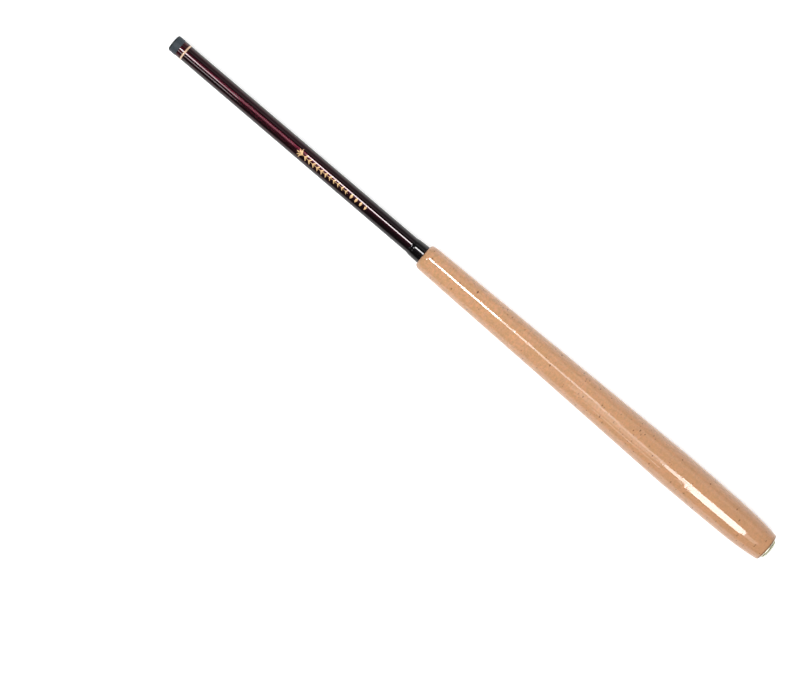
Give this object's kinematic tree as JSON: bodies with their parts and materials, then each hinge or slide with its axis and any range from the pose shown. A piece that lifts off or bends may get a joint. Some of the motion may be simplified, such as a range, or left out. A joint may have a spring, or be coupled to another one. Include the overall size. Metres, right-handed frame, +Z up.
{
  "type": "tenkara rod",
  "caption": "Telescopic fixed-line fly rod, collapsed, with a long shaped cork grip, winding check, screw butt cap and tip plug.",
  "frame": {"origin": "centre of the butt cap's rear flat face, on the rod axis", "axes": "+X along the rod axis from butt to tip, +Z up as the rod lies, +Y across it to the left seen from the butt"},
  "size_m": [0.5611, 0.0282, 0.0282],
  "materials": {
    "blank_lacquer": "gloss",
    "check_gloss": "gloss",
    "wrap_epoxy": "gloss",
    "gold": "gloss",
    "insert_metal": "satin",
    "cork": "gloss",
    "seal_rubber": "satin",
    "cap_metal": "satin",
    "pad_rubber": "matte",
    "section_lacquer": "gloss",
    "tip_lacquer": "gloss",
    "line_braid": "matte",
    "sleeve_plastic": "satin",
    "plug_plastic": "matte"
  },
  "bodies": {
    "handle": {"handle_section": "blank_lacquer", "winding_check": "check_gloss", "tip_wrap": "wrap_epoxy", "gold_band": "gold", "butt_insert": "insert_metal", "cork_ring_01": "cork", "cork_ring_02": "cork", "cork_ring_03": "cork", "cork_ring_04": "cork", "cork_ring_05": "cork", "cork_ring_06": "cork", "cork_ring_07": "cork", "cork_ring_08": "cork", "cork_ring_09": "cork", "cork_ring_10": "cork", "cork_ring_11": "cork", "cork_ring_12": "cork", "cork_ring_13": "cork", "cork_ring_14": "cork", "cork_ring_15": "cork", "cork_ring_16": "cork", "cork_ring_17": "cork", "cork_ring_18": "cork", "cork_ring_19": "cork", "cork_ring_20": "cork", "cork_ring_21": "cork", "cork_ring_22": "cork", "cork_ring_23": "cork", "cork_ring_24": "cork", "cork_ring_25": "cork", "cork_ring_26": "cork"},
    "cap_seal": {"cap_o_ring": "seal_rubber"},
    "butt_cap": {"butt_cap": "cap_metal", "cap_pad": "pad_rubber"},
    "section_2": {"section_2": "section_lacquer"},
    "section_3": {"section_3": "section_lacquer"},
    "section_4": {"section_4": "section_lacquer"},
    "section_5": {"section_5": "section_lacquer"},
    "section_6": {"section_6": "section_lacquer"},
    "section_7": {"section_7": "section_lacquer"},
    "tip": {"tip_section": "tip_lacquer", "lilian": "line_braid", "lilian_sleeve": "sleeve_plastic"},
    "plug": {"tip_plug": "plug_plastic", "plug_o_ring": "seal_rubber"}
  },
  "joints": [
    {"name": "cap_travel", "type": "slide", "parent": "handle", "child": "cap_seal", "axis": [-1, 0, 0], "range_m": [0, 0.0065]},
    {"name": "cap_turn", "type": "hinge", "parent": "cap_seal", "child": "butt_cap", "pos_m": [0, 0, 0], "axis": [-1, 0, 0], "range_deg": [0, 2345]},
    {"name": "section_2_slide", "type": "slide", "parent": "handle", "child": "section_2", "axis": [1, 0, 0], "range_m": [0, 0.4428]},
    {"name": "section_3_slide", "type": "slide", "parent": "section_2", "child": "section_3", "axis": [1, 0, 0], "range_m": [0, 0.42025]},
    {"name": "section_4_slide", "type": "slide", "parent": "section_3", "child": "section_4", "axis": [1, 0, 0], "range_m": [0, 0.4267]},
    {"name": "section_5_slide", "type": "slide", "parent": "section_4", "child": "section_5", "axis": [1, 0, 0], "range_m": [0, 0.43315]},
    {"name": "section_6_slide", "type": "slide", "parent": "section_5", "child": "section_6", "axis": [1, 0, 0], "range_m": [0, 0.4396]},
    {"name": "section_7_slide", "type": "slide", "parent": "section_6", "child": "section_7", "axis": [1, 0, 0], "range_m": [0, 0.44605]},
    {"name": "tip_slide", "type": "slide", "parent": "section_7", "child": "tip", "axis": [1, 0, 0], "range_m": [0, 0.4525]},
    {"name": "plug_pull", "type": "slide", "parent": "tip", "child": "plug", "axis": [1, 0, 0], "range_m": [0, 0.03]}
  ],
  "couplings": [
    {"joint": "cap_turn", "follows": "cap_travel", "rad_per_m": 6283.2}
  ]
}
